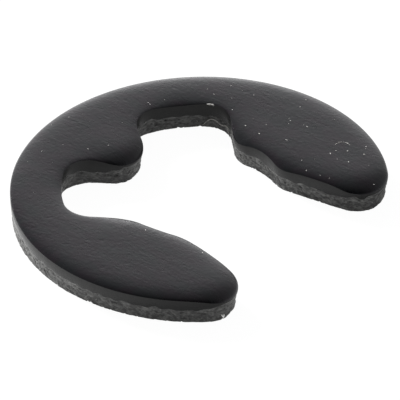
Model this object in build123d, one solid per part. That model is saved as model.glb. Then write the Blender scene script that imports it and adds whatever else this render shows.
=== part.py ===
from build123d import *
from math import acos, atan2, cos, degrees, pi, radians, sin, sqrt
import os

# E-clip: a flat retaining ring for a grooved shaft, blanked from spring strip in one stroke.
#
# The frame has the shaft's axis along Z and the lower face, where the clip rests, at Z = 0.
# The mouth, where the shaft goes in, faces +X, and the clip is mirrored across the XZ plane.

# Outline, in millimetres, with angles in degrees round the shaft's axis from the mouth
outer_diameter = 7.25       # across the clip, unsprung
groove_diameter = 3.2       # circle that the two side seats and the middle prong close on
rim_width = 0.98            # spring rim outside the two pockets
arm_tip_radius = 0.60
arm_tip_angle = 47.8
lead_in_radius = 0.74       # outer shoulder of each side seat, which the shaft slides over
lead_in_angle = 68.4
heel_radius = 0.60          # inner shoulder of each side seat
heel_angle = 95.9
heel_flank = 0.42           # straight wall from the heel to the pocket's front corner
pocket_corner_radius = 0.53
prong_flank = 0.29          # straight wall from the pocket's back corner to the prong's round end
prong_tip_radius = 0.59

# Blanked edge, down the thickness of the strip
thickness = 0.60
roll_depth = 0.07           # die roll: the upper edge, drawn down as the punch goes in
roll_width = 0.42           # how far the roll reaches in from the edge
burnish_height = 0.22       # smooth sheared land below the roll
fracture_inset = 0.045      # how far the torn zone below the land slopes in by the lower face

# Stock that stands outside the outline until the edge is cut
trim_allowance = 0.20

outer_radius = outer_diameter / 2
seat_radius = groove_diameter / 2
pocket_radius = outer_radius - rim_width
corner_distance = pocket_radius - pocket_corner_radius


def disc(distance, angle, radius):
    """A disc of the outline, centred at a distance and angle from the shaft's axis.

    The radius is positive where the metal is inside the disc and negative where it is outside.
    """
    centre = Vector(distance * cos(radians(angle)), distance * sin(radians(angle)))
    return centre, radius


def mirrored(one_disc):
    """The same disc on the other side of the XZ plane."""
    centre, radius = one_disc
    return Vector(centre.X, -centre.Y), radius


def angle_to_corner(end_distance, end_radius, flank):
    """Angle at the shaft's axis from a round end to the pocket corner that its straight flank runs to."""
    apart_squared = (end_radius + pocket_corner_radius) ** 2 + flank**2
    reach_squared = end_distance**2 + corner_distance**2
    return degrees(acos((reach_squared - apart_squared) / (2 * end_distance * corner_distance)))


def outline_discs():
    """Every disc that the outline runs round, clockwise from the back of the rim."""
    heel_distance = seat_radius + heel_radius
    prong_distance = seat_radius + prong_tip_radius
    front_angle = heel_angle + angle_to_corner(heel_distance, heel_radius, heel_flank)
    back_angle = 180 - angle_to_corner(prong_distance, prong_tip_radius, prong_flank)
    rim = disc(0, 0, outer_radius)
    upper = [
        disc(outer_radius - arm_tip_radius, arm_tip_angle, arm_tip_radius),
        disc(seat_radius + lead_in_radius, lead_in_angle, lead_in_radius),
        disc(0, 0, -seat_radius),
        disc(heel_distance, heel_angle, heel_radius),
        disc(corner_distance, front_angle, -pocket_corner_radius),
        disc(0, 0, -pocket_radius),
        disc(corner_distance, back_angle, -pocket_corner_radius),
    ]
    prong_tip = disc(prong_distance, 180, prong_tip_radius)
    lower = [mirrored(one_disc) for one_disc in reversed(upper)]
    return [rim, *upper, prong_tip, *lower]


def tangent_normal(first, second):
    """Outward normal of the straight line that leaves one disc and meets the next, tangent to both."""
    (centre_1, radius_1), (centre_2, radius_2) = first, second
    step = centre_2 - centre_1
    along = step.normalized()
    lean = (radius_1 - radius_2) / step.length
    across = sqrt(max(0.0, 1 - lean**2))  # just under zero by rounding where the discs touch
    return along * lean + Vector(-along.Y, along.X) * across


def arc_round(one_disc, arriving, leaving):
    """Arc on one disc between two outward normals: clockwise on a positive disc, else the other way."""
    centre, radius = one_disc
    start = atan2(arriving.Y, arriving.X)
    turn = atan2(leaving.Y, leaving.X) - start
    if radius > 0:
        turn = -(-turn % (2 * pi))
        return CenterArc(centre, radius, degrees(start), degrees(turn))
    turn = turn % (2 * pi)
    return CenterArc(centre, -radius, degrees(start) + 180, degrees(turn))


def clip_outline():
    """Closed outline of arcs joined by tangent lines, like a belt pulled round the discs."""
    discs = outline_discs()
    following = discs[1:] + discs[:1]
    normals = [tangent_normal(first, second) for first, second in zip(discs, following)]
    edges = []
    for index, one_disc in enumerate(discs):
        edges.append(arc_round(one_disc, normals[index - 1], normals[index]))
        start = one_disc[0] + normals[index] * one_disc[1]
        end = following[index][0] + normals[index] * following[index][1]
        if (end - start).length > 1e-6:
            edges.append(Line(start, end))
    return Wire(edges)


def edge_scrap(outline):
    """What the blanking stroke takes off round the outline: all that is outside the edge's section."""
    start = outline @ 0
    travel = outline % 0
    outward = Vector(-travel.Y, travel.X)
    section_plane = Plane(origin=start, x_dir=outward, z_dir=outward.cross(Vector(0, 0, 1)))
    roll_reach = min(roll_width, 0.45 * rim_width)  # the rolls of the rim's two sides never meet
    land_top = thickness - roll_depth
    land_foot = land_top - burnish_height
    with BuildSketch(section_plane) as section:
        with BuildLine():
            roll = EllipticalCenterArc(
                (-roll_reach, land_top), roll_reach, roll_depth, start_angle=0, arc_size=90
            )
            Polyline(
                roll @ 0,
                (0, land_foot),
                (-fracture_inset, 0),
                (-fracture_inset, -trim_allowance),
                (trim_allowance, -trim_allowance),
                (trim_allowance, thickness + trim_allowance),
                (-roll_reach, thickness + trim_allowance),
                roll @ 1,
            )
        make_face()
    return sweep(section.sketch, path=outline)


def clip():
    """The whole clip: the oversize blank less the scrap round its edge."""
    outline = clip_outline()
    blank = extrude(offset(make_face(outline), trim_allowance / 2), thickness)
    return blank - edge_scrap(outline)


body = clip()
os.makedirs("parts", exist_ok=True)
export_step(body, "parts/clip.step")
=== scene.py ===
"""E-clip: the finish of a blanked, phosphated spring-steel retaining clip, laid flat on a pale floor."""
from math import cos, exp, radians, sin

import bmesh
import bpy
import numpy as np
from bpy.props import FloatProperty, FloatVectorProperty, IntProperty, PointerProperty
from mathutils import Matrix, Vector


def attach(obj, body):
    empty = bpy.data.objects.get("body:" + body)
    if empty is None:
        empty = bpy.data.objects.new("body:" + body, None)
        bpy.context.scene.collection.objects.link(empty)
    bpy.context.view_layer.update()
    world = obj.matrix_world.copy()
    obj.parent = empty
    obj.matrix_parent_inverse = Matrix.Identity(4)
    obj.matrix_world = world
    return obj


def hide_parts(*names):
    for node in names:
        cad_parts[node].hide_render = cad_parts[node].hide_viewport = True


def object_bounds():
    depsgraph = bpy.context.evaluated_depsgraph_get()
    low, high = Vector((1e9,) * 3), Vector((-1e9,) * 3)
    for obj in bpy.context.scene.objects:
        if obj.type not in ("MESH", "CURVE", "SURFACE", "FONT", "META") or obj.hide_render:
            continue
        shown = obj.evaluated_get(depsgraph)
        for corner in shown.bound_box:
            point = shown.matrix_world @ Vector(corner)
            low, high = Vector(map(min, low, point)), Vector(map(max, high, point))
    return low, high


bl_info = {
    "name": "E-clip finish",
    "version": (1, 0, 0),
    "blender": (4, 5, 0),
    "location": "View3D > Sidebar > E-clip",
    "description": "Builds a blanked e-clip with its die roll, sheared land and torn edge, and a plain stage",
    "category": "Mesh",
}

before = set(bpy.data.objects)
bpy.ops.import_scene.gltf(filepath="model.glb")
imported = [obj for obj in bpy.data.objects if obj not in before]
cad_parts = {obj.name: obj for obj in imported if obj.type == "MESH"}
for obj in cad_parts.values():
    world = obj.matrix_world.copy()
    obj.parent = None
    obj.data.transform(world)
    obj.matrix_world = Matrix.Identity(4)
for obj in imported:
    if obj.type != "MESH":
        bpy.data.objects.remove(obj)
cad_low, cad_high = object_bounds()

MM = 0.001

# Seeds of the random draws for the torn zone and for the dust.
TORN_SEED, DUST_SEED = 11, 8


def hex_to_linear(code):
    """Linear RGB of an sRGB colour written as six hex digits."""
    srgb = np.array([int(code[i:i + 2], 16) / 255 for i in (0, 2, 4)])
    low, high = srgb / 12.92, ((srgb + 0.055) / 1.055) ** 2.4
    return tuple(np.where(srgb <= 0.04045, low, high))


def length(name, description, default):
    """A property that holds a length, in metres."""
    return FloatProperty(name=name, description=description, default=default, unit="LENGTH", precision=6)


def angle_of(name, description, degrees):
    """A property that holds an angle, given in degrees."""
    return FloatProperty(name=name, description=description, default=radians(degrees), subtype="ANGLE")


def colour(name, description, code):
    """A property that holds a colour, given as sRGB hex digits."""
    return FloatVectorProperty(name=name, description=description, default=hex_to_linear(code),
                               subtype="COLOR", size=3, min=0, max=1)


class ClipSizes(bpy.types.PropertyGroup):
    """The clip's outline and the section of its blanked edge."""

    outer_diameter: length("Outer diameter", "Across the unsprung clip", 2 * cad_high.y)
    groove_diameter: length("Groove diameter", "Circle that the three seats close on", 3.2 * MM)
    rim_width: length("Rim width", "Spring rim outside the pockets", 0.98 * MM)
    arm_tip_radius: length("Arm tip radius", "Round end of each arm", 0.60 * MM)
    arm_tip_angle: angle_of("Arm tip angle", "Place of each arm's end, from the mouth", 47.8)
    lead_in_radius: length("Lead-in radius", "Outer shoulder of each side seat", 0.74 * MM)
    lead_in_angle: angle_of("Lead-in angle", "Place of the outer shoulders", 68.4)
    heel_radius: length("Heel radius", "Inner shoulder of each side seat", 0.60 * MM)
    heel_angle: angle_of("Heel angle", "Place of the inner shoulders", 95.9)
    heel_flank: length("Heel flank", "Straight wall from the heel to the pocket", 0.42 * MM)
    corner_radius: length("Pocket corner radius", "Corners of the two pockets", 0.53 * MM)
    prong_flank: length("Prong flank", "Straight wall from the pocket to the prong's end", 0.29 * MM)
    prong_tip_radius: length("Prong tip radius", "Round end of the middle prong", 0.59 * MM)
    thickness: length("Thickness", "Of the strip, with room left for dust on it", cad_high.z - 0.006 * MM)
    roll_depth: length("Die roll depth", "Drop of the upper edge on a straight stretch", 0.082 * MM)
    roll_width: length("Die roll width", "How far the roll reaches in from the edge", 0.60 * MM)
    roll_shape: FloatProperty(name="Die roll shape", description="Power of the roll's superellipse",
                              default=2.4, min=1.5, max=5)
    roll_end: FloatProperty(name="Die roll end", description="Share of the superellipse above the land",
                            default=0.99, min=0.5, max=1)
    roll_gain: length("Die roll gain", "How much an outward corner deepens the roll", 0.57 * MM)
    roll_blend: length("Die roll blend", "Length of edge over which the gain is smoothed", 0.25 * MM)
    land_foot: length("Land foot", "Depth of the land's lower border under the face", 0.32 * MM)
    border_wander: length("Border wander", "How far the land's border strays up and down", 0.014 * MM)
    lip: length("Lip", "How far the land draws in towards the torn zone's lip", 0.006 * MM)
    fracture_inset: length("Fracture inset", "How far the torn zone slopes in at the foot", 0.010 * MM)
    gap_side: angle_of("Gap side", "Where the gap from punch to die was widest", 45)
    gap_lean: length("Gap lean", "How much further the torn zone slopes in at the widest gap", 0.045 * MM)
    gap_land: length("Gap land", "How much shorter the land is at the widest gap", 0.05 * MM)
    bulge_land: length("Bulge land", "How much shorter the land is round an outward corner", 0.045 * MM)
    scoop_depth: length("Scoop depth", "Depth of the torn zone's larger scoops", 0.012 * MM)
    scoop_length: length("Scoop length", "Length of the torn zone's larger scoops", 0.12 * MM)
    scoop_height: length("Scoop height", "Height of the torn zone's larger scoops", 0.08 * MM)
    lump_height: length("Lump height", "Height of the lumps over the torn zone", 0.004 * MM)
    rungs: IntProperty(name="Rungs", description="Mesh lines across half the clip", default=470, min=40)


class FinishColours(bpy.types.PropertyGroup):
    """Colours of the clip's surfaces and of what lies on them."""

    phosphate: colour("Phosphate", "Oiled black phosphate on the faces", "0f070f")
    bloom: colour("Oil bloom", "Where the oil on the faces lies thicker", "080b0e")
    land: colour("Land", "Phosphate on the sheared land", "0f0f0f")
    torn: colour("Torn steel", "Phosphate in the hollows of the torn zone", "313130")
    # The crest colour is also a painted highlight: the torn zone's crests, raised lumps and grit, and its
    # lip, are drawn in it.
    crest: colour("Torn crests", "Thin phosphate on the crests of the torn zone", "848482")
    chip: colour("Chip", "Bare steel of a fresh chip", "fafaf8")
    dust: colour("Dust", "Specks of dust and lint", "f8f6f2")
    grime: colour("Grime", "Darker side of the dust", "b8b5ae")


class DustSettings(bpy.types.PropertyGroup):
    """The dust and lint that lie on the clip."""

    specks: IntProperty(name="Specks", description="Flakes of dust on the upper face", default=54, min=0)
    wall_specks: IntProperty(name="Wall specks", description="Flakes of dust on the walls", default=24, min=0)
    size: length("Size", "Radius of the largest speck", 0.014 * MM)
    chip_size: length("Chip size", "Radius of the bare chip by the lower arm's tip", 0.044 * MM)
    chip_place: angle_of("Chip place", "Way to the chip from the middle of the arm's tip", -20)
    chip_height: length("Chip height", "Of the bare chip above the floor", 0.11 * MM)
    lint_width: length("Lint width", "Thickness of a fibre", 0.014 * MM)
    hair_place: length("Hair place", "Of its middle, clockwise from the rim's back", 13.4 * MM)
    hair_span: length("Hair span", "Length of wall that the hair lies along", 0.75 * MM)
    knot_place: length("Knot place", "Of the knot of lint, clockwise from the rim's back", 13.6 * MM)
    knot_span: length("Knot span", "Length of the knot of lint", 0.14 * MM)


class StageSettings(bpy.types.PropertyGroup):
    """The camera's place and the surroundings."""

    azimuth: angle_of("Azimuth", "Of the camera, from looking along +Y", 40.63)
    elevation: angle_of("Elevation", "Of the camera above the floor", 36.31)
    roll: angle_of("Roll", "Of the camera about its own axis", -1.18)
    distance: length("Distance", "From the camera to the clip", 164.4 * MM)
    field: length("Field", "Width that the camera takes in at the clip", 7.627 * MM)
    aim_right: length("Aim right", "Aim to the right of the shaft's axis", 0.003 * MM)
    aim_up: length("Aim up", "Aim above the shaft's axis at the upper face", -0.320 * MM)
    key_spread: angle_of("Key spread", "Of the key to the left from straight behind the clip", 40)
    key_elevation: angle_of("Key elevation", "Of the key above the floor", 22)
    key_distance: length("Key distance", "From the key to the clip", 300 * MM)
    key_width: length("Key width", "Of the key's disc", 110 * MM)
    key_level: FloatProperty(name="Key level", description="What the key adds to a white card", default=0.8,
                             min=0)
    floor_radius: length("Floor radius", "Of the round floor", 400 * MM)
    floor: colour("Floor", "Pale matt floor", "e8e8e8")


# ---- outline


def unit_at(angle):
    """Flat unit vectors at angles from +X."""
    return np.stack([np.cos(angle), np.sin(angle)], axis=1)


def outline_discs(sizes):
    """Discs that the upper half of the outline runs round, as rows of x, y and radius.

    The rows go clockwise from the rim's back to the middle prong. A radius is positive where the metal
    is inside the disc. A pocket corner's angle from the round end beside it follows from the cosine
    rule, with the straight flank between them as the common tangent of the two discs.
    """
    outer, seat = sizes.outer_diameter / 2, sizes.groove_diameter / 2
    pocket = outer - sizes.rim_width
    corner = pocket - sizes.corner_radius

    def angle_to_corner(distance, radius, flank):
        apart_squared = (radius + sizes.corner_radius) ** 2 + flank**2
        return np.arccos((distance**2 + corner**2 - apart_squared) / (2 * distance * corner))

    heel, prong = seat + sizes.heel_radius, seat + sizes.prong_tip_radius
    front = sizes.heel_angle + angle_to_corner(heel, sizes.heel_radius, sizes.heel_flank)
    back = np.pi - angle_to_corner(prong, sizes.prong_tip_radius, sizes.prong_flank)
    polar = np.array([
        (0, 0, outer),
        (outer - sizes.arm_tip_radius, sizes.arm_tip_angle, sizes.arm_tip_radius),
        (seat + sizes.lead_in_radius, sizes.lead_in_angle, sizes.lead_in_radius),
        (0, 0, -seat),
        (heel, sizes.heel_angle, sizes.heel_radius),
        (corner, front, -sizes.corner_radius),
        (0, 0, -pocket),
        (corner, back, -sizes.corner_radius),
        (prong, np.pi, sizes.prong_tip_radius),
    ])
    distance, angle, radius = polar.T
    return np.column_stack([distance[:, None] * unit_at(angle), radius])


def half_outline(sizes, spacing):
    """Points and normal angles of the upper half outline, clockwise from the rim's back to the prong's end.

    It is a belt pulled round the discs. The line from one disc to the next is tangent to both, so its
    normal is the line of centres turned left by the arc cosine of the difference of radii over the distance.
    """
    discs = outline_discs(sizes)
    step = np.diff(discs[:, :2], axis=0)
    lean = np.clip(-np.diff(discs[:, 2]) / np.hypot(*step.T), -1, 1)
    tangents = np.arctan2(step[:, 1], step[:, 0]) + np.arccos(lean)
    arriving, leaving = np.r_[np.pi, tangents], np.r_[tangents, 0]
    points, angles = [], []
    for (x, y, radius), first, last in zip(discs, arriving, leaving):
        side = np.sign(radius)
        turn = -side * ((side * (first - last)) % (2 * np.pi))
        count = max(2, int(abs(turn * radius) / spacing) + 2)
        angle = first + turn * np.linspace(0, 1, count)
        arc = (x, y) + radius * unit_at(angle)
        if points:
            gap = arc[0] - points[-1][-1]
            fill = np.linspace(0, 1, int(np.hypot(*gap) / spacing) + 2)[1:-1, None]
            points.append(points[-1][-1] + fill * gap)
            angles.append(np.full(len(fill), angle[0]))
        points.append(arc)
        angles.append(angle)
    return np.concatenate(points), np.unwrap(np.concatenate(angles))


def rung_ends(sizes):
    """Where each rung of one half of the clip meets the outer and the inner edge, from arm tip to axis.

    A rung lies on a ray from the shaft's axis. The rays are spaced so that along the edge that is the
    longer between two of them, every step is equal. Returns points and normal angles of both ends.
    """
    points, angles = half_outline(sizes, spacing=0.004 * MM)
    polar = np.unwrap(np.arctan2(points[:, 1], points[:, 0]))
    tip = np.argmin(polar)
    sides = [np.s_[tip::-1], np.s_[tip:]]
    travelled = []
    rays = np.unique(np.r_[polar, polar[tip]])
    for side in sides:
        run = np.r_[0, np.cumsum(np.hypot(*np.diff(points[side], axis=0).T))]
        travelled.append(np.interp(rays, polar[side], run))
    pace = np.r_[0, np.cumsum(np.max(np.diff(travelled, axis=1), axis=0))]
    chosen = np.interp(np.linspace(0, pace[-1], sizes.rungs + 1), pace, rays)
    ends = []
    for side in sides:
        place = np.stack([np.interp(chosen, polar[side], points[side, k]) for k in (0, 1)], axis=1)
        ends.append((place, np.interp(chosen, polar[side], angles[side])))
    return ends


def edge_loop(sizes):
    """The whole outline as a closed clockwise loop of rung ends: points, normals and distance run.

    Also gives the loop index of each rung's outer and inner end, from the upper arm's tip to the lower's.
    """
    outer, inner = rung_ends(sizes)
    rungs = sizes.rungs
    lower_inner, lower_outer = ((place * (1, -1), -angle) for place, angle in (inner, outer))
    stretches = [(outer, np.s_[::-1]), (inner, np.s_[1:]),
                 (lower_inner, np.s_[-2::-1]), (lower_outer, np.s_[1:-1])]
    place, angle = (np.concatenate([ends[k][run] for ends, run in stretches]) for k in (0, 1))
    normal = unit_at(angle)
    run = np.r_[0, np.cumsum(np.hypot(*np.diff(place, axis=0).T))]
    total = run[-1] + np.hypot(*(place[0] - place[-1]))
    index = np.arange(2 * rungs + 1)
    outer_end = (rungs - index) % (4 * rungs)
    inner_end = rungs + index
    return place, normal, run, total, outer_end, inner_end


def smoothed(values, run, total, reach):
    """Values round the loop averaged with a Gaussian weight of the distance along it."""
    apart = np.abs(run[:, None] - run[None])
    apart = np.minimum(apart, total - apart)
    share = np.diff(np.r_[run, total])
    weight = np.exp(-0.5 * (apart / reach) ** 2) * share
    return weight @ values / weight.sum(axis=1)


def roll_depths(sizes, normal, run, total):
    """Depth of the die roll round the loop: it grows exponentially with how far the outline bulges there."""
    angle = np.unwrap(np.arctan2(normal[:, 1], normal[:, 0]))
    turned = np.diff(np.r_[angle, angle[0] - 2 * np.pi])
    bulge = -turned / np.diff(np.r_[run, total])
    return sizes.roll_depth * np.exp(sizes.roll_gain * smoothed(bulge, run, total, sizes.roll_blend))


# ---- noise


def smoothstep(share):
    """3t^2 - 2t^3: 0 to 1 without a corner at either end."""
    return share**2 * (3 - 2 * share)


def waves(rng, run, total, longest, shortest, count=60):
    """Noise along the edge: a sum of sine waves that close round the loop, with unit spread."""
    turns = np.round(total / np.exp(rng.uniform(np.log(shortest), np.log(longest), count)))
    phase = rng.uniform(0, 2 * np.pi, count)
    return np.sin(2 * np.pi * run[:, None] * turns / total + phase).sum(axis=1) * np.sqrt(2 / count)


def lumps(rng, run, drop, total, long, tall):
    """Smooth noise over the edge that closes round the loop: random heights on a lattice, eased in between.

    A lattice cell has the given length and height. The spread is about 1.
    """
    columns = round(total / long)
    along, down = run * columns / total, drop / tall
    heights = rng.normal(scale=1.7, size=(columns, int(down.max()) + 2))
    column, row = np.floor(along).astype(int), np.floor(down).astype(int)
    right, below = smoothstep(along - column), smoothstep(down - row)
    noise = 0
    for step, across in ((0, 1 - right), (1, right)):
        for fall, share in ((0, 1 - below), (1, below)):
            noise = noise + heights[(column + step) % columns, row + fall] * across * share
    return noise


def scoops(rng, run, drop, total, long, tall):
    """Bowls on the edge that meet in sharp crests: 0 in the middle of a bowl and up to about 1 on a crest.

    The edge is tiled with cells of the given length and height, each with one point at random. The
    value is the squared distance to the nearest point, measured in cells.
    """
    columns = round(total / long)
    along, down = run * columns / total, drop / tall + 1
    points = rng.random((columns, int(down.max()) + 3, 2))
    column, row = np.floor(along).astype(int), np.floor(down).astype(int)
    nearest = np.full(row.shape, np.inf)
    for right in (-1, 0, 1):
        for below in (-1, 0, 1):
            point = points[(column + right) % columns, row + below]
            apart = (along - column - right - point[..., 0]) ** 2 + (down - row - below - point[..., 1]) ** 2
            nearest = np.minimum(nearest, apart)
    return nearest


# ---- the clip's surfaces


def grid_faces(index, closed=False):
    """Quads between neighbouring rows and columns of an array of vertex numbers."""
    if closed:
        index = np.concatenate([index, index[:1]])
    return np.stack([index[:-1, :-1], index[1:, :-1], index[1:, 1:], index[:-1, 1:]], axis=-1).reshape(-1, 4)


def joined(parts):
    """Several lots of points and faces as one."""
    starts = np.cumsum([0] + [len(points) for points, _ in parts])
    faces = [quads + start for (_, quads), start in zip(parts, starts)]
    return np.concatenate([points for points, _ in parts]), np.concatenate(faces)


def nearest_edge(flat, place, normal):
    """Number of the outline's point nearest to each flat point, and how far in from the edge it lies."""
    nearest = ((flat[:, None] - place[None]) ** 2).sum(axis=2).argmin(axis=1)
    return nearest, ((place[nearest] - flat) * normal[nearest]).sum(axis=1)


def face_heights(sizes, flat, place, normal, depth):
    """Height of the upper face at flat points: level, then falling over the die roll as a superellipse.

    The depth is that of the nearest point of the outline. The points are taken a lot at a time.
    """
    lot = 4096
    power, end = sizes.roll_shape, sizes.roll_end
    whole = 1 - (1 - end**power) ** (1 / power)
    height = np.empty(len(flat))
    for start in range(0, len(flat), lot):
        nearest, inward = nearest_edge(flat[start:start + lot], place, normal)
        share = end * np.clip(1 - np.clip(inward, 0, None) / sizes.roll_width, 0, 1)
        fall = (1 - (1 - share**power) ** (1 / power)) / whole
        height[start:start + lot] = -depth[nearest] * fall
    return sizes.thickness + height


def eased(height, across, passes):
    """Heights averaged again and again with their neighbours: fully in mid-rung, not at all at its ends."""
    weight = np.clip(4 * across * (1 - across), 0, 1)[1:-1] ** 2
    for _ in range(passes):
        middle = height[1:-1, 1:-1]
        around = (height[:-2, 1:-1] + height[2:, 1:-1] + height[1:-1, :-2] + height[1:-1, 2:]) / 4
        height[1:-1, 1:-1] = middle + weight * (around - middle)
    return height


def upper_face(sizes, place, normal, depth, outer_end, inner_end):
    """Grid of the upper face: rungs from edge to edge, with their points closer together towards both.

    Their spacing is that of a half cosine with a share of even spacing.
    """
    steps, even = np.linspace(0, 1, 31), 0.15
    across = even * steps + (1 - even) * (1 - np.cos(np.pi * steps)) / 2
    outer, inner = place[outer_end], place[inner_end]
    flat = outer[:, None] + across[None, :, None] * (inner - outer)[:, None]
    height = face_heights(sizes, flat.reshape(-1, 2), place, normal, depth).reshape(flat.shape[:2])
    height = eased(height, across, passes=24)
    height[:, 0], height[:, -1] = sizes.thickness - depth[outer_end], sizes.thickness - depth[inner_end]
    return np.concatenate([flat, height[..., None]], axis=2)


def widened(sizes, normal, start, end):
    """0 to 1 by how far a wall faces the widest gap: a smoothstep of that cosine between two values."""
    facing = normal @ (cos(sizes.gap_side), sin(sizes.gap_side))
    return smoothstep(np.clip((facing - start) / (end - start), 0, 1))[:, None]


def edge_wall(sizes, rng, place, normal, run, total, depth):
    """Grid of the wall from the rolled edge down to the foot, and how bare each point is, 0 to 1, with a
    painted highlight added on the torn zone.

    The land is straight and draws in a little towards its wandering lower border. The torn zone starts
    with a lip that stands out again, then slopes in, dented by scoops of two sizes that fade at the foot,
    which is chipped in places. On the torn zone the value adds up from the crests between scoops and the
    lumps, drawn lighter both as thinner phosphate and as a painted highlight on the raised relief, from
    patches along the edge and the foot, and from a band of painted highlight along the lip.
    """
    land_rows, torn_rows = 7, 24
    least_land, fade_in, lip_reach, lip_sheen = 0.05 * MM, 0.05 * MM, 0.03 * MM, 0.14 * MM
    chip_rarity, chip_depth = 1.15, 0.02 * MM
    top = depth[:, None]
    wander = waves(rng, run, total, longest=1.6 * MM, shortest=0.22 * MM)[:, None]
    outward = np.clip(np.log(top / sizes.roll_depth), 0, 1)
    land_foot = sizes.land_foot - sizes.bulge_land * outward
    land_foot = land_foot - sizes.gap_land * widened(sizes, normal, start=0.05, end=0.45)
    border = np.maximum(land_foot + sizes.border_wander * wander, top + least_land)
    land_share = np.linspace(0, 1, land_rows + 1)[None]
    land_drop = top + (border - top) * land_share
    land_in = sizes.lip * land_share**3 * np.ones_like(land_drop)

    share = np.linspace(0, 1, torn_rows + 1)[None, 1:] ** 1.15
    ragged = waves(rng, run, total, longest=0.9 * MM, shortest=0.06 * MM)[:, None]
    foot = sizes.thickness - chip_depth * np.clip(ragged - chip_rarity, 0, None)
    torn_drop = border + (foot - border) * share
    under, along = torn_drop - border, run[:, None]
    # The small scoops and both sizes of lumps are shares of a large scoop's length and height.
    long, tall = sizes.scoop_length, sizes.scoop_height
    large = scoops(rng, along, torn_drop, total, long, tall)
    small = scoops(rng, along, torn_drop, total, 0.4 * long, 0.45 * tall)
    patches = waves(rng, run, total, longest=2.5 * MM, shortest=0.3 * MM)[:, None]
    slid = torn_drop + tall * (1 + np.clip(patches, -3, 3) / 3)
    coarse = lumps(rng, along, slid, total, 0.75 * long, 0.6 * tall)
    fine = lumps(rng, along, slid, total, 0.3 * long, 0.3 * tall)
    fade = np.clip(under / fade_in, 0, 1) * (1 - 0.52 * share**4)
    torn_in = sizes.lip * (1 - np.clip(under / lip_reach, 0, 1)) + sizes.fracture_inset * share**1.3
    torn_in = torn_in + sizes.gap_lean * widened(sizes, normal, start=0.35, end=0.85) * share**0.8
    torn_in = torn_in + sizes.scoop_depth * fade * (np.clip(1 - large, 0, 1) + 0.4 * np.clip(1 - small, 0, 1))
    torn_in = torn_in + sizes.lump_height * fade * (1.5 - coarse - 0.6 * fine)
    # A painted highlight along the lip: a band of lighter colour under the land's border, lightest 0.07 mm
    # down.
    lip = np.sin(np.pi * np.clip(under / lip_sheen, 0, 1))
    # Weights of each shape in how bare the steel is drawn, which also paints a highlight on the crests and
    # raised lumps. A scoop counts from its mean, 0.35.
    bare = 0.32 + 0.2 * (large - 0.35) + 0.25 * (small - 0.35) + 0.16 * coarse + 0.24 * fine
    bare = bare + 0.14 * lip + 0.08 * patches + 0.15 * share**4
    inset = np.clip(np.concatenate([land_in, torn_in], axis=1), 0, None)
    drop = np.concatenate([land_drop, torn_drop], axis=1)
    bare = np.concatenate([land_share * np.ones_like(land_drop), np.clip(bare, 0, 1)], axis=1)
    flat = place[:, None] - inset[..., None] * normal[:, None]
    return np.concatenate([flat, (sizes.thickness - drop)[..., None]], axis=2), bare, land_rows


def clip_surfaces(sizes):
    """The clip's whole skin: vertices, quads, a finish number per quad and a bareness per vertex, with a
    painted highlight in it on the torn zone.

    The finishes are 0 for the faces, 1 for the land and 2 for the torn zone. The upper face's rungs end
    on the wall's first row and the lower face's on its last, the chipped foot, with flat metal between.
    """
    place, normal, run, total, outer_end, inner_end = edge_loop(sizes)
    depth = roll_depths(sizes, normal, run, total)
    rng = np.random.default_rng(TORN_SEED)
    upper = upper_face(sizes, place, normal, depth, outer_end, inner_end)
    wall, bare, land_rows = edge_wall(sizes, rng, place, normal, run, total, depth)
    foot_outer, foot_inner = wall[outer_end, -1], wall[inner_end, -1]
    across = np.array([0, 0.03, 0.2, 0.5, 0.8, 0.97, 1])
    lower = foot_outer[:, None] + across[None, :, None] * (foot_inner - foot_outer)[:, None]
    lower[:, 1:-1, 2] = 0

    grids = [upper, wall, lower]
    index = [np.arange(grid.size // 3).reshape(grid.shape[:2]) for grid in grids]
    quads = [grid_faces(index[0]), grid_faces(index[1][:, ::-1], closed=True), grid_faces(index[2][:, ::-1])]
    vertices, faces = joined([(grid.reshape(-1, 3), some) for grid, some in zip(grids, quads)])
    from_foot = np.tile(np.arange(wall.shape[1] - 1), len(wall))
    wall_finish = np.where(from_foot < wall.shape[1] - 1 - land_rows, 2, 1)
    finish = np.concatenate([np.zeros(len(quads[0]), int), wall_finish, np.zeros(len(quads[2]), int)])
    bareness_and_highlight = np.concatenate([np.zeros(upper.size // 3), bare.reshape(-1), np.zeros(lower.size // 3)])
    return vertices, faces, finish, bareness_and_highlight


def put(name, data):
    """A new object of the scene, at the origin."""
    thing = bpy.data.objects.new(name, data)
    bpy.context.scene.collection.objects.link(thing)
    return thing


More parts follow.
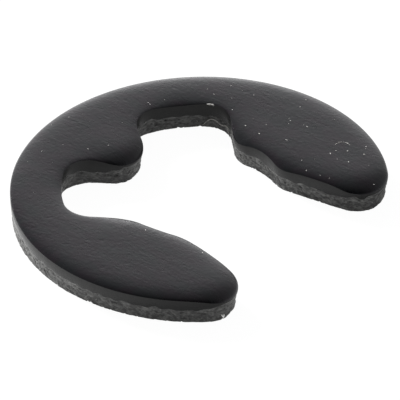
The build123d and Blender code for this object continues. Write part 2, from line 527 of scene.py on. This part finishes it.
def make_piece(name, vertices, faces, finish, materials, bareness_and_highlight=None):
    """A mesh object at the origin, its doubles merged and its faces turned outwards.

    It is kept inside the solid's box. It is smooth, but sharp where the first finish meets another.
    """
    mesh = bpy.data.meshes.new(name)
    mesh.from_pydata(np.clip(vertices, cad_low, cad_high).tolist(), [], faces.tolist())
    for material in materials:
        mesh.materials.append(material)
    mesh.polygons.foreach_set("material_index", finish)
    if bareness_and_highlight is not None:
        mesh.attributes.new("bareness_and_highlight", "FLOAT", "POINT").data.foreach_set("value", bareness_and_highlight)
    skin = bmesh.new()
    skin.from_mesh(mesh)
    bmesh.ops.remove_doubles(skin, verts=skin.verts, dist=1e-8)
    bmesh.ops.dissolve_degenerate(skin, edges=skin.edges, dist=1e-9)
    bmesh.ops.recalc_face_normals(skin, faces=skin.faces)
    skin.to_mesh(mesh)
    skin.free()
    mesh.polygons.foreach_set("use_smooth", np.ones(len(mesh.polygons), bool))
    corners, numbers = np.empty((2, len(mesh.polygons)), int)
    mesh.polygons.foreach_get("loop_total", corners)
    mesh.polygons.foreach_get("material_index", numbers)
    edges = np.empty(len(mesh.loops), int)
    mesh.loops.foreach_get("edge_index", edges)
    on_face = np.repeat(numbers == 0, corners)
    touching = np.zeros((2, len(mesh.edges)), bool)
    touching[0, edges[on_face]] = True
    touching[1, edges[~on_face]] = True
    mesh.attributes.new("sharp_edge", "BOOLEAN", "EDGE").data.foreach_set("value", touching.all(axis=0))
    return put(name, mesh)


# ---- dust


# Which way the bare chip faces: out of the wall and a little up.
CHIP_FACING = (0.5, -0.815, 0.29)

# Where the fibre on the upper arm starts, its heading there, how far it bends to the right, and its length.
FIBRE_START, FIBRE_HEADING = np.array((1.22, 2.57)) * MM, radians(85)
FIBRE_BEND, FIBRE_LENGTH = radians(-95), 0.36 * MM

# How far specks, the chip, the hair and the knot stand out from the wall, and the knot's height.
SPECK_OUT, CHIP_OUT, HAIR_OUT, KNOT_OUT = 0.002 * MM, 0.022 * MM, 0.018 * MM, 0.008 * MM
KNOT_HEIGHT = 0.558 * MM

# A direction that no fibre runs along and no flake faces.
ASKEW = (0.36, 0.48, 0.8)


def square_to(ways):
    """Unit vectors square to the given ones."""
    side = np.cross(ways, ASKEW)
    return side / np.linalg.norm(side, axis=1, keepdims=True)


def flakes(rng, centres, facing, sizes):
    """Closed lumps, one at each centre: squashed balls of the given sizes, lying square to their facing.

    A ball is rings of points between two poles. Its radius swells and shrinks with the angle round the
    facing as two random waves of 2 and 3 lobes, and it is a third as thick as it is wide.
    """
    count, around, down = len(centres), 8, 6
    turn = np.linspace(0, 2 * np.pi, around + 1)[:-1][:, None]
    fall = np.linspace(0, np.pi, down)[None]
    phase = rng.uniform(0, 2 * np.pi, (2, count, 1, 1))
    lobes = 1 + 0.3 * np.sin(2 * turn + phase[0]) + 0.2 * np.sin(3 * turn + phase[1])
    wide = sizes[:, None, None] * lobes * np.sin(fall)
    thick = sizes[:, None, None] * np.cos(fall) * np.ones_like(turn) / 3
    side = square_to(facing)
    ahead = np.cross(facing, side)
    points = (wide * np.cos(turn))[..., None] * side[:, None, None]
    points = points + (wide * np.sin(turn))[..., None] * ahead[:, None, None]
    points = points + thick[..., None] * facing[:, None, None] + centres[:, None, None]
    quads = grid_faces(np.arange(around * down).reshape(around, down), closed=True)
    quads = quads + around * down * np.arange(count)[:, None, None]
    return points.reshape(-1, 3), quads.reshape(-1, 4)


def thread(path, radius):
    """A fibre along a path: rings square to it that shrink as a superellipse to a point at each end."""
    ahead = np.gradient(path, axis=0)
    ahead /= np.linalg.norm(ahead, axis=1, keepdims=True)
    side, around = square_to(ahead), 8
    lift = np.cross(side, ahead)
    width = radius * np.sqrt(1 - np.linspace(-1, 1, len(path)) ** 8)
    turn = np.linspace(0, 2 * np.pi, around + 1)[:-1, None, None]
    points = path + width[:, None] * (side * np.cos(turn) + lift * np.sin(turn))
    return points.reshape(-1, 3), grid_faces(np.arange(around * len(path)).reshape(around, -1), closed=True)


def hair_path(dust):
    """Places of the hair along the wall: distance round the outline and height.

    It arches up from its ends as the square root of a half sine, with two humps from a cosine.
    """
    ends, rise, hump, hump_span = 0.07, 0.13, 0.04, 0.58
    share = np.linspace(0, 1, 90)
    arch = np.sqrt(np.clip(np.sin(np.pi * share), 0, 1))
    humps = np.cos(2 * np.pi * (share - 0.25) / hump_span)
    along = dust.hair_place + dust.hair_span * (0.5 - share)
    return along, (ends + rise * arch + hump * humps) * MM


def hooked(start, heading, turned, reach):
    """A flat path that sets off at a heading and turns, as a smoothstep of its length, through an angle."""
    share = np.linspace(0, 1, 60)
    way = heading + turned * smoothstep(share)
    return start + np.cumsum(unit_at(way) * reach / len(share), axis=0)


def on_wall(place, normal, run, along, height, out):
    """Points at distances round the outline and heights, that stand out from the wall by a length."""
    beside = [np.interp(along, run, place[:, k] + out * normal[:, k]) for k in (0, 1)]
    return np.column_stack([*beside, height])


def scattered(rng, sizes, count, place, normal):
    """Random places on the upper face, clear of its edge and closer together towards the upper arm.

    A try is kept by odds of 0.45 that rise by 0.5 towards the upper arm's side.
    """
    radius, clear, tries = sizes.outer_diameter / 2, 0.06 * MM, 60 * (count + 1)
    flat = rng.uniform(-radius, radius, (tries, 2))
    likely = rng.random(tries) < 0.45 + 0.5 * flat[:, 1] / radius
    _, inward = nearest_edge(flat, place, normal)
    return flat[likely & (inward > clear)][:count]


# ---- materials


def add_node(tree, kind, settings=None):
    """Adds a node, and sets or links its inputs and properties by name or number.

    An input is linked where its value is an output, or a node, which stands for its first output. Map
    Range has 0 the value, 1 and 2 its span, and 3 and 4 the new span.
    """
    node = tree.nodes.new("ShaderNode" + kind)
    for key, value in (settings or {}).items():
        if isinstance(value, bpy.types.Node):
            value = value.outputs[0]
        if isinstance(value, bpy.types.NodeSocket):
            tree.links.new(value, node.inputs[key])
        elif isinstance(key, int) or key in node.inputs:
            node.inputs[key].default_value = value
        else:
            setattr(node, key, value)
    return node


def new_material(name, finish, *settings):
    """A material whose surface is the shader that a finish function adds to its tree."""
    material = bpy.data.materials.new(name)
    material.use_nodes = True
    tree = material.node_tree
    tree.nodes.clear()
    add_node(tree, "OutputMaterial", {"Surface": finish(tree, *settings)})
    return material


def noise_on(tree, per_mm, detail=2.0, roughness=0.5):
    """Noise over the piece with the given number of lumps in each millimetre along X, Y and Z."""
    place = add_node(tree, "TexCoord").outputs["Object"]
    mapping = add_node(tree, "Mapping", {"Scale": tuple(n / MM for n in per_mm), "Vector": place})
    return add_node(tree, "TexNoise", {
        "Vector": mapping, "Scale": 1.0, "Detail": detail, "Roughness": roughness})


def weigh(tree, terms):
    """Sum of several outputs, each times its weight."""
    total = 0.0
    for output, weight in terms:
        total = add_node(tree, "Math", {"operation": "MULTIPLY_ADD", 0: output, 1: weight, 2: total})
    return total


def oiled_phosphate(tree, colours):
    """Oiled manganese phosphate over rolled strip: satin black, mottled and faintly streaked along X.

    The phosphate's mottle is lumps of 0.1 mm with finer grit in them. The strip's grain, ridges 0.05 mm
    apart and 0.1 to 1 mm long, shows through it in patches where the coat is thin.
    """
    mottle = noise_on(tree, (14, 16, 1), detail=1, roughness=0.6)
    grain = noise_on(tree, (9, 22, 1), roughness=0.6)
    lines = noise_on(tree, (1.2, 25, 1), detail=1)
    coat = noise_on(tree, (1.2, 2.2, 1))
    thin = add_node(tree, "MapRange", {0: coat, 1: 0.35, 2: 0.65, 3: 0.3, 4: 1.1})
    ridges = weigh(tree, [(grain, 1.0), (lines, 0.35)])
    strip = add_node(tree, "Math", {"operation": "MULTIPLY", 0: thin, 1: ridges})
    spots = noise_on(tree, (7, 8, 1), detail=0)
    pits = add_node(tree, "MapRange", {0: spots, 1: 0.74, 2: 0.86})
    height = weigh(tree, [(mottle, 1.1), (strip, 1.1), (pits, -0.5)])
    bump = add_node(tree, "Bump", {"Strength": 1.0, "Distance": 0.003 * MM, "Height": height})
    patches = noise_on(tree, (1.5, 3, 1), detail=3)
    gloss = add_node(tree, "MapRange", {0: patches, 1: 0.3, 2: 0.7, 3: 0.23, 4: 0.33})
    film = noise_on(tree, (2.5, 4, 1))
    thick = add_node(tree, "MapRange", {0: film, 1: 0.4, 2: 0.6})
    tint = add_node(tree, "Mix", {
        "data_type": "RGBA", 0: thick, 6: (*colours.phosphate, 1), 7: (*colours.bloom, 1)})
    return add_node(tree, "BsdfPrincipled", {
        "Base Color": tint.outputs[2], "Roughness": gloss, "Normal": bump,
        "IOR": 1.5, "Specular Tint": (0.958, 0.949, 1.0, 1)})


def sheared_land(tree, colours):
    """Phosphate on the land: smoother further down, where the punch burnished it.

    It has faint upright marks 0.04 mm apart over swells of 0.14 mm.
    """
    marks = noise_on(tree, (24, 24, 4))
    lumps = noise_on(tree, (7, 7, 5))
    height = weigh(tree, [(marks, 0.6), (lumps, 1.4)])
    bump = add_node(tree, "Bump", {"Strength": 1.0, "Distance": 0.003 * MM, "Height": height})
    burnish = add_node(tree, "Attribute", {"attribute_name": "bareness_and_highlight"}).outputs["Fac"]
    rough = add_node(tree, "MapRange", {0: burnish, 1: 0.2, 2: 0.75, 3: 0.42, 4: 0.24})
    return add_node(tree, "BsdfPrincipled", {
        "Base Color": (*colours.land, 1), "Roughness": rough, "Normal": bump, "IOR": 1.44})


def torn_steel(tree, colours):
    """Phosphate on the torn zone, with grit of 0.05 mm: thinner and lighter on the crests and raised grit,
    where the lighter colour is also a painted highlight, and a painted highlight along the lip.
    """
    grit = noise_on(tree, (18, 18, 26), detail=3, roughness=0.65)
    bump = add_node(tree, "Bump", {"Strength": 1.0, "Distance": 0.016 * MM, "Height": grit})
    # This value and the grit set how light the torn zone is drawn: thinner phosphate, a painted highlight on
    # raised relief, and a painted highlight along the lip.
    bare = add_node(tree, "Attribute", {"attribute_name": "bareness_and_highlight"}).outputs["Fac"]
    level = weigh(tree, [(bare, 1.0), (grit, 1.2)])
    share = add_node(tree, "MapRange", {0: level, 1: 0.6, 2: 1.7})
    tint = add_node(tree, "Mix", {
        "data_type": "RGBA", 0: share, 6: (*colours.torn, 1), 7: (*colours.crest, 1)})
    return add_node(tree, "BsdfPrincipled", {
        "Base Color": tint.outputs[2], "Roughness": 0.38, "Normal": bump, "IOR": 1.65})


def cotton_dust(tree, colours):
    """House dust and cotton lint: matt and off-white with greyer patches of 0.03 mm."""
    patches = noise_on(tree, (30, 30, 30), detail=1)
    share = add_node(tree, "MapRange", {0: patches, 1: 0.45, 2: 0.75})
    tint = add_node(tree, "Mix", {
        "data_type": "RGBA", 0: share, 6: (*colours.dust, 1), 7: (*colours.grime, 1)})
    return add_node(tree, "BsdfPrincipled", {"Base Color": tint.outputs[2], "Roughness": 0.9})


def bare_chip(tree, colours):
    """Fresh steel on a chip that tore loose after the coating: bright metal, a little rough."""
    return add_node(tree, "BsdfPrincipled", {
        "Base Color": (*colours.chip, 1), "Metallic": 1.0, "Roughness": 0.24})


# The floor's glow and shade to the eye, and its shade in reflections.
SEEN_GLOW, SEEN_SHADE, GLOSSY_SHADE = 0.965, 0.1, 0.6

# Its glow in reflections at its left and its right, this far out to either side: a painted pool of light from
# the left.
GLOW_LEFT, GLOW_RIGHT, GLOW_REACH = 0.63, 0.18, 5 * MM


def lit_card(tree, shade, glow):
    """A card that glows white, by a number or a node, and reflects a share of the light on it."""
    white = add_node(tree, "Emission", {"Color": (1, 1, 1, 1), "Strength": glow})
    card = add_node(tree, "BsdfDiffuse", {"Color": (shade, shade, shade, 1)})
    return add_node(tree, "AddShader", {0: white, 1: card})


def pale_card(tree, floor, azimuth):
    """Matt pale card: white to the eye; in reflections a painted glow, brightest on the left and fading to
    the right, stands in for light from the left. Both keep the soft shadow.
    """
    right = (cos(azimuth), sin(azimuth), 0)
    place = add_node(tree, "TexCoord").outputs["Object"]
    across = add_node(tree, "VectorMath", {"operation": "DOT_PRODUCT", 0: place, 1: right})
    # Painted light: the card's glow in reflections falls off from the left to the right.
    fade = add_node(tree, "MapRange", {
        0: across.outputs["Value"], 1: -GLOW_REACH, 2: GLOW_REACH, 3: GLOW_LEFT, 4: GLOW_RIGHT})
    path = add_node(tree, "LightPath")
    glossy = add_node(tree, "Math", {
        "operation": "MAXIMUM", 0: path.outputs["Is Glossy Ray"], 1: path.outputs["Is Transmission Ray"]})
    card = add_node(tree, "BsdfDiffuse", {"Color": (*floor, 1)})
    reflected = add_node(tree, "MixShader", {0: glossy, 1: card, 2: lit_card(tree, GLOSSY_SHADE, fade)})
    return add_node(tree, "MixShader", {
        0: path.outputs["Is Camera Ray"], 1: reflected, 2: lit_card(tree, SEEN_SHADE, SEEN_GLOW)})


# ---- stage


# Brightness of the screens behind and in front. Both fade by a factor of e over an angle and end at an
# edge. A direction is widened sideways before its angle is taken, so that they are narrower than tall.
BACK_SCREEN, FRONT_SCREEN, SCREEN_FADE, SCREEN_EDGE, SCREEN_NARROWING = 2.85, 0.45, 20, 60, 0.4

# Brightness of the walls, and what is added to it towards the back, the right and both sides.
WALLS, WALLS_BACK, WALLS_RIGHT, WALLS_SIDES = 0.235, 0.265, 0.02, 0.2


def screen(tree, direction, middle):
    """Share of a tall soft screen's full brightness, by the direction looked in.

    It is exp(-angle / fade) times 1 - (angle / edge)^4, drawn through a stop every 10 degrees.
    """
    side = middle.cross(Vector((0, 0, 1)))
    beside = add_node(tree, "VectorMath", {"operation": "DOT_PRODUCT", 0: direction, 1: side})
    shift = add_node(tree, "VectorMath", {
        "operation": "SCALE", 0: side * SCREEN_NARROWING, 3: beside.outputs["Value"]})
    wide = add_node(tree, "VectorMath", {"operation": "ADD", 0: direction, 1: shift})
    way = add_node(tree, "VectorMath", {"operation": "NORMALIZE", 0: wide})
    towards = add_node(tree, "VectorMath", {"operation": "DOT_PRODUCT", 0: way, 1: middle})
    ramp = add_node(tree, "ValToRGB", {0: towards.outputs["Value"]})
    stops = ramp.color_ramp.elements
    for angle in range(SCREEN_EDGE, -1, -10):
        at = cos(radians(angle))
        stop = stops[0] if angle == SCREEN_EDGE else stops.new(at)
        stop.position = at
        stop.color = (exp(-angle / SCREEN_FADE) * (1 - (angle / SCREEN_EDGE) ** 4),) * 3 + (1,)
    stops.remove(stops[-1])
    return ramp


def light_room(azimuth):
    """A soft screen behind the clip, a weaker one in front, and walls lighter at the back and both sides."""
    world = bpy.data.worlds.new("soft_screens_in_a_dim_room")
    world.use_nodes = True
    tree = world.node_tree
    tree.nodes.clear()
    direction = add_node(tree, "TexCoord").outputs["Generated"]
    behind = Vector((-sin(azimuth), cos(azimuth), 0))
    right = Vector((cos(azimuth), sin(azimuth), 0))
    back, opposite = screen(tree, direction, behind), screen(tree, direction, -behind)
    front = add_node(tree, "Math", {"operation": "POWER", 0: opposite, 1: 2.0})
    sideways = add_node(tree, "VectorMath", {"operation": "DOT_PRODUCT", 0: direction, 1: right})
    rearward = add_node(tree, "VectorMath", {"operation": "DOT_PRODUCT", 0: direction, 1: behind})
    side, rear = sideways.outputs["Value"], rearward.outputs["Value"]
    slope = add_node(tree, "Math", {"operation": "MULTIPLY_ADD", 0: side, 1: WALLS_SIDES, 2: WALLS_RIGHT})
    depth = add_node(tree, "Math", {"operation": "MULTIPLY_ADD", 0: rear, 1: WALLS_BACK, 2: WALLS})
    walls = add_node(tree, "Math", {"operation": "MULTIPLY_ADD", 0: slope, 1: side, 2: depth})
    level = weigh(tree, [(back, BACK_SCREEN), (front, FRONT_SCREEN), (walls, 1.0)])
    room = add_node(tree, "Background", {"Color": level, "Strength": 1.0})
    white = add_node(tree, "Background", {"Color": (1, 1, 1, 1), "Strength": 1.0})
    path = add_node(tree, "LightPath")
    mix = add_node(tree, "MixShader", {0: path.outputs["Is Camera Ray"], 1: room, 2: white})
    add_node(tree, "OutputWorld", {"Surface": mix})
    bpy.context.scene.world = world


def hang_key(stage):
    """A soft key behind the clip to the left, strong enough to add the set level to a white card.

    It casts the clip's shadow on the floor, and reflections leave it out.
    """
    data = bpy.data.lights.new("key", "AREA")
    data.shape = "DISK"
    data.size = stage.key_width
    data.energy = stage.key_level * np.pi**2 * stage.key_distance**2 / sin(stage.key_elevation)
    key = put("key", data)
    azimuth, elevation = stage.azimuth + stage.key_spread, stage.key_elevation
    away = Vector((-sin(azimuth) * cos(elevation), cos(azimuth) * cos(elevation), sin(elevation)))
    turn = away.to_track_quat("Z", "Y").to_matrix().to_4x4()
    key.matrix_world = Matrix.Translation(away * stage.key_distance) @ turn
    key.visible_glossy = False


def place_camera(stage, centre):
    """A long-lens camera at the set azimuth and elevation, aimed near the shaft's axis at the upper face."""
    azimuth, elevation = stage.azimuth, stage.elevation
    back = Vector((sin(azimuth) * cos(elevation), -cos(azimuth) * cos(elevation), sin(elevation)))
    right = Vector((cos(azimuth), sin(azimuth), 0))
    turn = Matrix((right, back.cross(right), back)).transposed() @ Matrix.Rotation(stage.roll, 3, "Z")
    right, up = turn.col[0], turn.col[1]
    aim = centre + right * stage.aim_right + up * stage.aim_up
    data = bpy.data.cameras.new("camera")
    data.lens = data.sensor_width * stage.distance / stage.field
    data.clip_start, data.clip_end = stage.distance / 10, stage.distance * 10
    camera = put("camera", data)
    camera.matrix_world = Matrix.Translation(aim + back * stage.distance) @ turn.to_4x4()
    bpy.context.scene.camera = camera


class CLIP_OT_build_body(bpy.types.Operator):
    """Build the clip's skin with its die roll, land and torn zone, in place of the plain solid"""

    bl_idname = "clip.build_body"
    bl_label = "Clip body"

    def execute(self, context):
        colours = context.scene.clip_colours
        materials = [new_material("oiled_phosphate_on_rolled_strip", oiled_phosphate, colours),
                     new_material("oiled_phosphate_on_sheared_land", sheared_land, colours),
                     new_material("phosphate_on_torn_steel", torn_steel, colours)]
        vertices, faces, finish, bareness_and_highlight = clip_surfaces(context.scene.clip_sizes)
        body = make_piece("clip_body", vertices, faces, finish, materials, bareness_and_highlight)
        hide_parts("clip")
        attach(body, "root")
        return {"FINISHED"}


class CLIP_OT_scatter_dust(bpy.types.Operator):
    """Scatter flakes of dust over the upper face and the walls"""

    bl_idname = "clip.scatter_dust"
    bl_label = "Dust"

    def execute(self, context):
        sizes, dust = context.scene.clip_sizes, context.scene.clip_dust
        place, normal, run, total, _, _ = edge_loop(sizes)
        depth = roll_depths(sizes, normal, run, total)
        rng = np.random.default_rng(DUST_SEED)
        flat = scattered(rng, sizes, dust.specks, place, normal)
        face = np.column_stack([flat, face_heights(sizes, flat, place, normal, depth)])
        at = rng.integers(0, len(place), dust.wall_specks)
        high = rng.uniform(0.1, 0.85, dust.wall_specks) * (sizes.thickness - depth[at])
        wall = np.column_stack([place[at] + SPECK_OUT * normal[at], high])
        x, y, radius = outline_discs(sizes)[1]
        out, way = radius + CHIP_OUT, dust.chip_place
        chip = (x + out * cos(way), -y + out * sin(way), dust.chip_height)
        centres = np.vstack([face, wall, chip])
        upright = np.tile((0.0, 0.0, 1.0), (len(face), 1))
        outward = np.column_stack([normal[at], np.zeros(len(at))])
        facing = np.vstack([upright, outward, CHIP_FACING])
        # Most specks are small: the square keeps them near two fifths of the largest.
        radii = dust.size * (0.4 + 0.6 * rng.random(len(centres)) ** 2)
        radii[-1] = dust.chip_size
        points, quads = flakes(rng, centres, facing, radii)
        finish = np.repeat(np.arange(len(centres)) == len(centres) - 1, len(quads) // len(centres))
        colours = context.scene.clip_colours
        materials = [new_material("cotton_dust", cotton_dust, colours),
                     new_material("bare_torn_steel", bare_chip, colours)]
        specks = make_piece("dust_specks", points, quads, finish.astype(int), materials)
        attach(specks, "root")
        return {"FINISHED"}


class CLIP_OT_lay_lint(bpy.types.Operator):
    """Lay a hair and a knot of lint on the pocket's back wall, and a fibre on the upper arm"""

    bl_idname = "clip.lay_lint"
    bl_label = "Lint"

    def execute(self, context):
        sizes, dust = context.scene.clip_sizes, context.scene.clip_dust
        place, normal, run = edge_loop(sizes)[:3]
        half = dust.lint_width / 2
        along, height = hair_path(dust)
        hair = on_wall(place, normal, run, along, height, HAIR_OUT)
        # The hair thickens towards the heel. The fibre is thinner, and swells and shrinks on its way.
        thick = half * np.interp(along / MM, (13.1, 13.3, 13.8), (2.4, 1.9, 1.5))
        along = dust.knot_place + dust.knot_span * np.linspace(0.5, -0.5, 12)
        knot = on_wall(place, normal, run, along, np.full(len(along), KNOT_HEIGHT), KNOT_OUT)
        across = hooked(FIBRE_START, FIBRE_HEADING, FIBRE_BEND, FIBRE_LENGTH)
        fibre = np.column_stack([across, np.full(len(across), sizes.thickness)])
        uneven = half * (0.65 + 0.25 * np.sin(np.linspace(0.5, 18, len(across))))
        points, quads = joined([thread(hair, thick), thread(knot, 2 * half), thread(fibre, uneven)])
        cotton = new_material("cotton_dust", cotton_dust, context.scene.clip_colours)
        lint = make_piece("lint_fibres", points, quads, np.zeros(len(quads), int), [cotton])
        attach(lint, "root")
        return {"FINISHED"}


class CLIP_OT_set_stage(bpy.types.Operator):
    """Lay a pale floor, light the surroundings and place the camera"""

    bl_idname = "clip.set_stage"
    bl_label = "Stage"

    def execute(self, context):
        stage, sizes = context.scene.clip_stage, context.scene.clip_sizes
        turn = np.linspace(0, 2 * np.pi, 97)[:-1]
        rim = np.column_stack([stage.floor_radius * unit_at(turn), 0 * turn])
        mesh = bpy.data.meshes.new("floor")
        mesh.from_pydata(rim.tolist(), [], [list(range(len(rim)))])
        mesh.materials.append(new_material("matt_pale_card", pale_card, stage.floor, stage.azimuth))
        put("floor", mesh)
        light_room(stage.azimuth)
        hang_key(stage)
        place_camera(stage, Vector((0, 0, sizes.thickness)))
        context.scene.view_settings.view_transform = "Standard"
        return {"FINISHED"}


class CLIP_PT_panel(bpy.types.Panel):
    """Sidebar panel that lists the clip's operators and settings"""

    bl_label = "E-clip"
    bl_idname = "CLIP_PT_panel"
    bl_space_type = "VIEW_3D"
    bl_region_type = "UI"
    bl_category = "E-clip"

    def draw(self, context):
        for operator in OPERATORS:
            self.layout.operator(operator.bl_idname)
        for name, group in GROUPS.items():
            box = self.layout.box()
            for setting in group.__annotations__:
                box.prop(getattr(context.scene, name), setting)


GROUPS = {"clip_sizes": ClipSizes, "clip_colours": FinishColours, "clip_dust": DustSettings,
          "clip_stage": StageSettings}
OPERATORS = (CLIP_OT_build_body, CLIP_OT_scatter_dust, CLIP_OT_lay_lint, CLIP_OT_set_stage)
CLASSES = (*GROUPS.values(), *OPERATORS, CLIP_PT_panel)


def register():
    for each in CLASSES:
        bpy.utils.register_class(each)
    for name, group in GROUPS.items():
        setattr(bpy.types.Scene, name, PointerProperty(type=group))


def unregister():
    for name in GROUPS:
        delattr(bpy.types.Scene, name)
    for each in reversed(CLASSES):
        bpy.utils.unregister_class(each)


def main():
    """Builds everything in order."""
    register()
    bpy.ops.clip.build_body()
    bpy.ops.clip.scatter_dust()
    bpy.ops.clip.lay_lint()
    bpy.ops.clip.set_stage()


if __name__ == "__main__":
    main()
